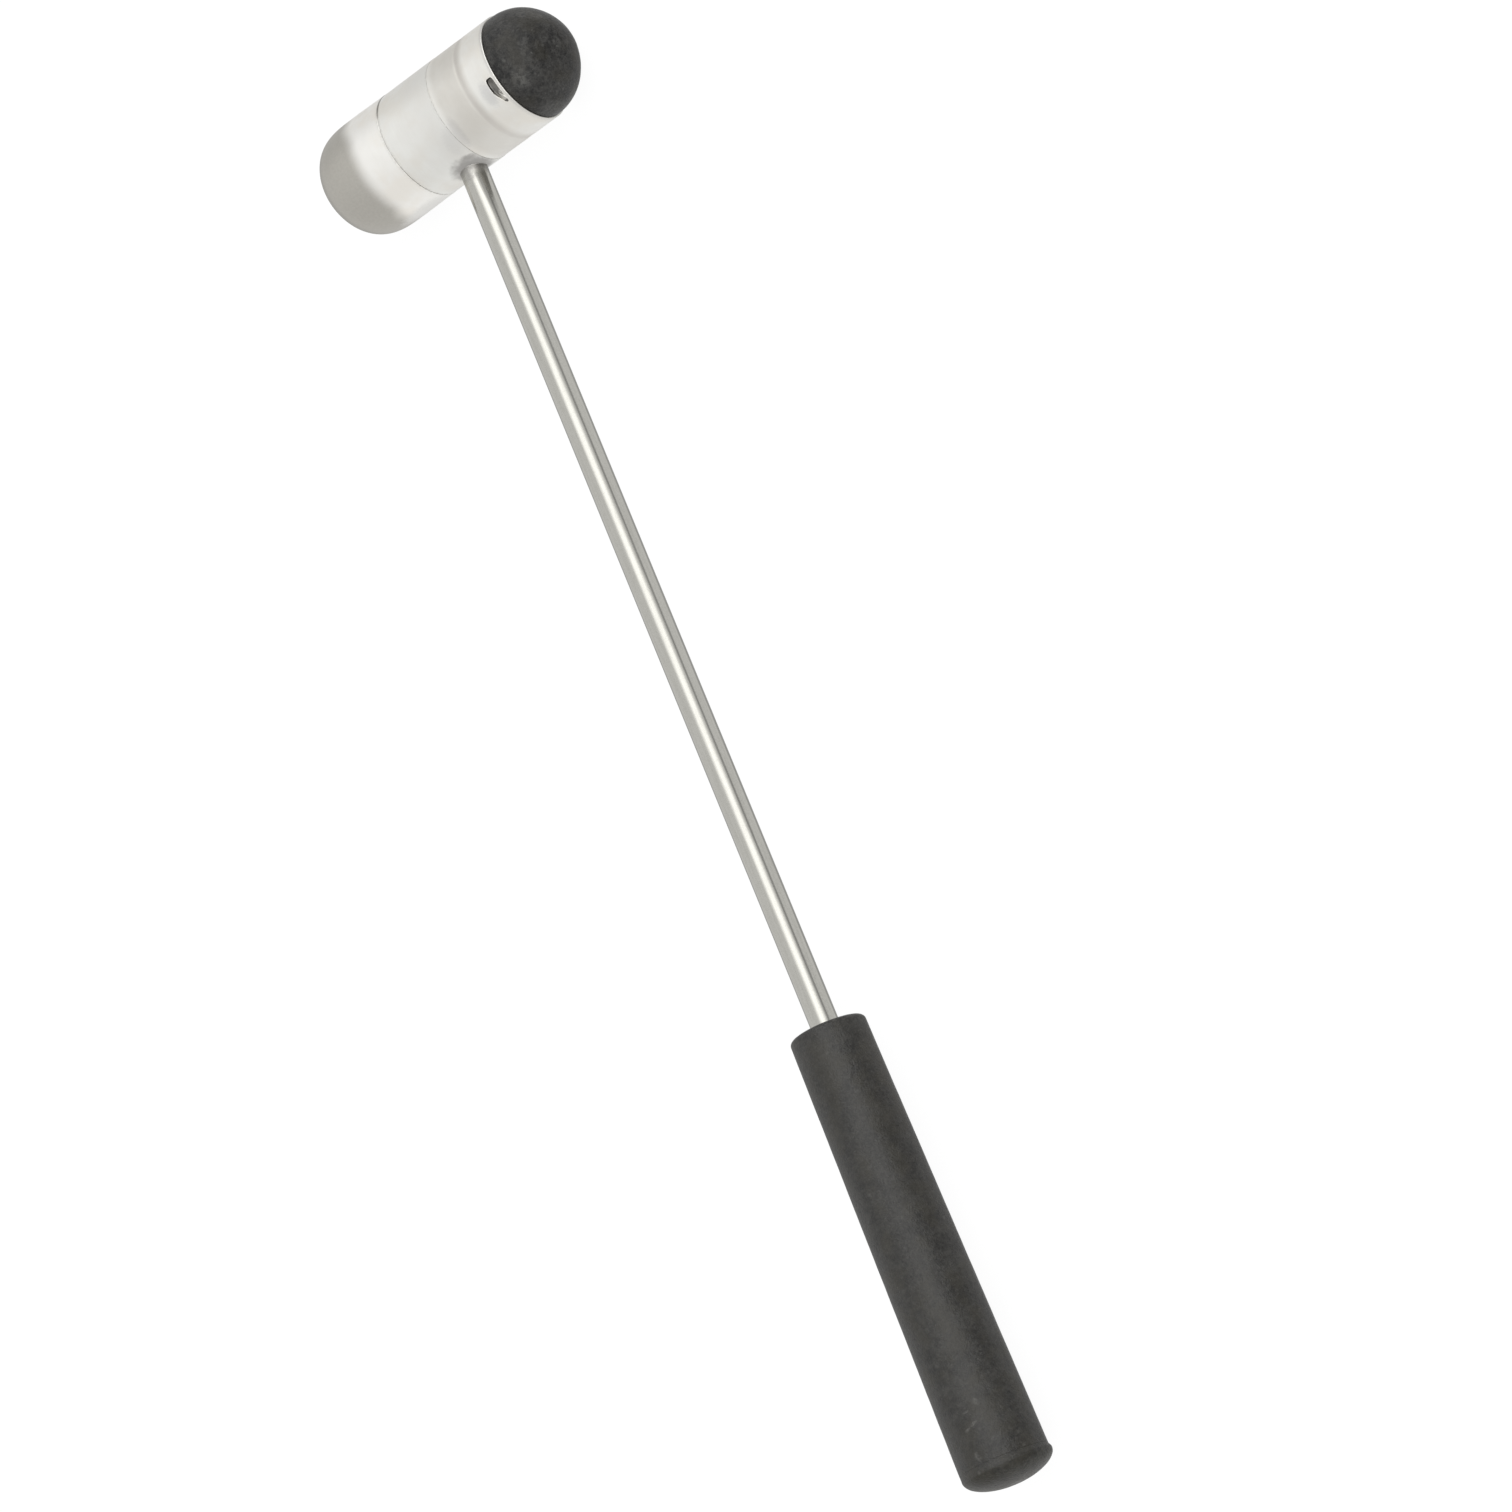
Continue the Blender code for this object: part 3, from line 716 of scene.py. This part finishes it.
sh = Shell()
SLOT_R = 9.72
first, last, lips = wall(sh, prof, turns, both(0.06))
for (ring, lip), c in zip(lips, (slot_mid, slot_mid + math.pi)):
    xm = 0.5 * (SLOT_X0 + SLOT_X1) + 0.1
    prev = ring
    for shrink, deep in ((0.975, 0.02), (0.950, 0.07), (0.940, 0.16), (0.930, 0.70), (0.905, 0.95),
                         (0.86, 1.0), (0.55, 1.0), (0.25, 1.0)):
        pts = []
        for s, a in lip:
            low = smooth((a - c) / slot_half)
            r = R - (R - SLOT_R) * deep * (1.0 - 0.80 * low)
            pts.append(on_head(xm + (s - xm) * shrink, r, c + (a - c) * shrink))
        nxt = sh.ring(pts)
        sh.band(prev, nxt)
        prev = nxt
    sh.tip(prev, on_head(xm, SLOT_R, c))
prev = last
for s, r in ((SL_RIM, 9.15), (17.45, 9.0), (15.0, 9.0), (12.0, 9.0), (10.5, 9.0)):
    nxt = sh.ring([on_head(s, r, a) for a in turns])
    sh.band(prev, nxt)
    prev = nxt
in_first = prev
step = sh.ring([on_head(10.5, 7.9, a) for a in turns])
sh.band(in_first, step)
prev = step
for s, r in ((10.4, 7.7), (8.0, 7.7), (6.0, 7.7), (SL_F + 0.3, 7.7), (SL_F, 8.0), (SL_F, 9.0)):
    nxt = sh.ring([on_head(s, r, a) for a in turns])
    sh.band(prev, nxt)
    prev = nxt
sh.band(prev, first)
piece("sleeve_body", sh, chrome_sleeve, "tip", "tip_sleeve")

# backing disc with turned rings on one face
sh = Shell()
prof = [(9.5, 0.0), (9.5, 0.6)]
for i in range(1, 12):
    r = 0.6 + 6.2 * i / 12
    prof += [(9.5, r - 0.08), (9.53, r), (9.5, r + 0.08)]
prof += [(9.5, 7.1), (9.7, 7.3), (10.1, 7.3), (10.3, 7.1), (10.3, 4.0), (10.3, 0.0)]
sh.turn(prof, on_head, angles(96))
piece("backing_disc", sh, steel_disc, "tip_thread", "tip_backing_disc")


# ------------------------------------------------------------------ rubber tip
def soft_skin(scale, much):
    def move(co):
        p = co * 1000.0
        return much * MM * (noise.noise(p * scale) + 0.5 * noise.noise(p * scale * 2.3))
    return move


def on_tip(x, r, a):
    px, py, pz = on_head(x, r, a)
    lean = 0.35 * max(0.0, (x - 17.9) / 10.1)      # pressed a little away from the grip
    return (px, py + lean * MM, pz)


prof = [(10.8, 0.0)] + corners([(10.8, 0.5, 0), (10.8, 8.7, 0.4), (17.66, 8.7, 0), (17.66, 10.05, 0.10),
                                (17.9, 10.05, 0)], step=0.6)
NOSE = 0.2 ** 1.55                                 # rounds the very end
for i in range(1, 61):
    k = math.cos(0.5 * math.pi * i / 60) if i < 60 else 0.0
    fall = ((k * k + 0.04) ** 0.775 - NOSE) / (1.04 ** 0.775 - NOSE)
    prof.append((17.9 + 9.94 * (1.0 - max(0.0, fall)) ** (1.0 / 2.11), 10.05 * k))
sh = Shell()
sh.turn(prof, on_tip, angles(192))
piece("rubber_dome", sh, rubber_tip_mat, "tip", "rubber_tip", grain=soft_skin(0.5, 0.018))

# ------------------------------------------------------------------ rod
prof = [(-5.8, 0.0)] + corners([(-5.8, 0.2, 0), (-5.8, 2.1, 0), (-5.4, 2.5, 0), (239.6, 2.5, 0), (240.0, 2.1, 0),
                                (240.0, 0.2, 0)], step=2.5) + [(240.0, 0.0)]
sh = Shell()
sh.turn(prof, on_rod, angles(128))
rod = piece("rod", sh, chrome_rod, "handle", "shaft")
# the rod's reflection and shade on the hub are painted into the hub's colour instead
rod.visible_glossy = False      # the satin head shows no clear image of it

# ------------------------------------------------------------------ grip
prof = corners([(176.2, 2.8, 0), (175.0, 3.3, 0.15), (175.0, 6.68, 0.85), (251.82, 7.73, 0.03), (251.82, 2.9, 0),
                (240.5, 2.8, 0), (176.2, 2.8, 0)], step=0.7, arc=7)
sh = Shell()
ring = sh.turn(prof, on_rod, angles(176))
piece("grip_tube", sh, rubber_grip_mat, "handle", "grip_sleeve", grain=soft_skin(0.33, 0.022))

END_R = 7.88
OFF = 0.15                 # the plug's dome sits a little to one side
flat = (1 - (2.0 / END_R) ** 2.0) ** (1 / 2.0)
length = (256.0 - 252.75) / flat
prof = [(242.0, 0.0)] + corners([(242.0, 0.3, 0), (242.0, 2.5, 0.3), (251.83, 2.5, 0), (251.83, 7.71, 0.02),
                                 (251.93, 7.715, 0.03), (252.62, END_R, 0.5), (252.75, END_R, 0)], step=0.7)
for i in range(1, 41):
    k = math.sin(0.5 * math.pi * i / 40) * flat
    prof.append((252.75 + length * k, END_R * (1 - k ** 2.0) ** (1 / 2.0)))
prof += [(256.0, 1.2), (256.0, 0.0)]


def on_plug(s, r, a):
    x, y, z = on_rod(s, r, a)
    off = OFF * smooth((s - 251.86) / 0.80) * MM
    return (x + off, y, z - 0.3 * off)


sh = Shell()
sh.turn(prof, on_plug, angles(176))
piece("grip_end", sh, rubber_end_mat, "handle", "grip_end_plug", grain=soft_skin(0.4, 0.016))

# ------------------------------------------------------------------ floor
mesh = bpy.data.meshes.new("floor")
S = 3.0
mesh.from_pydata([(-S, -S, -5e-5), (S, -S, -5e-5), (S, S, -5e-5), (-S, S, -5e-5)], [], [(0, 1, 2, 3)])
floor = bpy.data.objects.new("floor", mesh)
mat, t, s = new_material("floor_paper")
p, x, y, z = axis_coords(t)
tone = clouds(t, p, 0.05, 3.0, 0.5)
t.links.new(blend(t, tone, rgb(0.066, 0.066, 0.066), rgb(0.074, 0.074, 0.074)), s.inputs["Base Color"])
s.inputs["Emission Color"].default_value = rgb(1, 1, 1)
s.inputs["Emission Strength"].default_value = 0.938
s.inputs["Roughness"].default_value = 0.9
s.inputs["Specular IOR Level"].default_value = 0.1
mesh.materials.append(mat)
scene.collection.objects.link(floor)
floor.visible_glossy = False


# ------------------------------------------------------------------ light
world = bpy.data.worlds.new("studio")
scene.world = world
world.use_nodes = True
t = world.node_tree
t.nodes.clear()
d = node(t, "ShaderNodeTexCoord").outputs["Generated"]
sep = node(t, "ShaderNodeSeparateXYZ", {"Vector": d})
dx, dy, dz = sep.outputs["X"], sep.outputs["Y"], sep.outputs["Z"]
level = calc(t, "SUBTRACT", 0.90, calc(t, "MULTIPLY", ramp(t, dy, 0.05, -0.72, 0.0, 0.065), ramp(t, dz, -0.5, 0.1)))
beyond = calc(t, "MULTIPLY", ramp(t, dz, 0.90, 0.0), ramp(t, dz, -0.10, 0.38, 0.68, 1.0))
level = calc(t, "SUBTRACT", level, calc(t, "MULTIPLY", ramp(t, dy, 0.32, 0.85, 0.0, 0.225), beyond))
# a long softbox over the rod, brighter towards both of its ends
twist = ramp(t, dy, 0.40, 0.16, math.radians(20.5), math.radians(35.0), soft=False)
turn = calc(t, "ABSOLUTE", calc(t, "SUBTRACT", calc(t, "ARCTAN2", dx, dz), twist))
box = calc(t, "MULTIPLY", ramp(t, turn, math.radians(36), math.radians(8)),
           calc(t, "MULTIPLY", ramp(t, dy, -0.92, -0.60), ramp(t, dy, 0.96, 0.85)))
power = calc(t, "ADD", ramp(t, dy, 0.05, -0.45, 1.12, 1.75), ramp(t, dy, 0.39, 0.62, 0.0, 1.48))
power = calc(t, "ADD", power, calc(t, "MULTIPLY", ramp(t, dy, 0.18, 0.08, 0.0, 1.15), ramp(t, dy, -0.45, -0.15)))
level = calc(t, "ADD", level, calc(t, "MULTIPLY", box, power))
# darker below, to either side of the grip
for under, wide, much in (((0.08, 0.20, -0.97), 27, 0.45), ((-0.75, 0.30, -0.60), 30, 0.42)):
    lobe = ramp(t, vec(t, "DOT_PRODUCT", d, tuple(Vector(under).normalized())),
                math.cos(math.radians(wide)), math.cos(math.radians(12)), 1.0, 1.0 - much)
    level = calc(t, "MULTIPLY", level, lobe)
# and on the right, but for the part that the rod shows
beside = calc(t, "MULTIPLY", ramp(t, calc(t, "ABSOLUTE", calc(t, "SUBTRACT", dy, 0.256)), 0.13, 0.34), ramp(t, dx, 0.50, 0.90))
level = calc(t, "MULTIPLY", level, calc(t, "SUBTRACT", 1.0, calc(t, "MULTIPLY", beside, 0.38)))
# a dark stretch that only the grip's right side shows
dark = calc(t, "MULTIPLY", ramp(t, dx, 0.62, 0.86), calc(t, "MULTIPLY", ramp(t, dy, 0.175, 0.11), ramp(t, dy, -0.30, -0.10)))
level = calc(t, "MULTIPLY", level, calc(t, "SUBTRACT", 1.0, calc(t, "MULTIPLY", dark, 0.72)))
low = calc(t, "MULTIPLY", ramp(t, dz, 0.08, 0.16), ramp(t, dz, 0.42, 0.30))
strip = calc(t, "MULTIPLY", calc(t, "MULTIPLY", low, ramp(t, dx, 0.72, 0.86)), ramp(t, dy, -0.1, 0.12))
level = calc(t, "MULTIPLY", level, calc(t, "SUBTRACT", 1.0, calc(t, "MULTIPLY", strip, 0.52)))
tint = node(t, "ShaderNodeCombineColor", {0: level, 1: level, 2: level})
bg = node(t, "ShaderNodeBackground", {"Color": tint.outputs[0], "Strength": 1.0})
out = node(t, "ShaderNodeOutputWorld")
t.links.new(bg.outputs[0], out.inputs["Surface"])

# ------------------------------------------------------------------ camera
cam = bpy.data.cameras.new("camera")
cam.sensor_width = 36.0
cam.sensor_fit = "AUTO"
cam.lens = 119.0476
cam.clip_start = 0.01
eye = bpy.data.objects.new("camera", cam)
right = Vector((0.727296, -0.369251, -0.578527)).normalized()
back = Vector((0.518771, -0.25612, 0.815646)).normalized()
up = back.cross(right).normalized()
right = up.cross(back)
place = Matrix((right, up, back)).transposed().to_4x4()
place.translation = Vector((0.441298, -0.219622, 0.692343))
eye.matrix_world = place
scene.collection.objects.link(eye)
scene.camera = eye
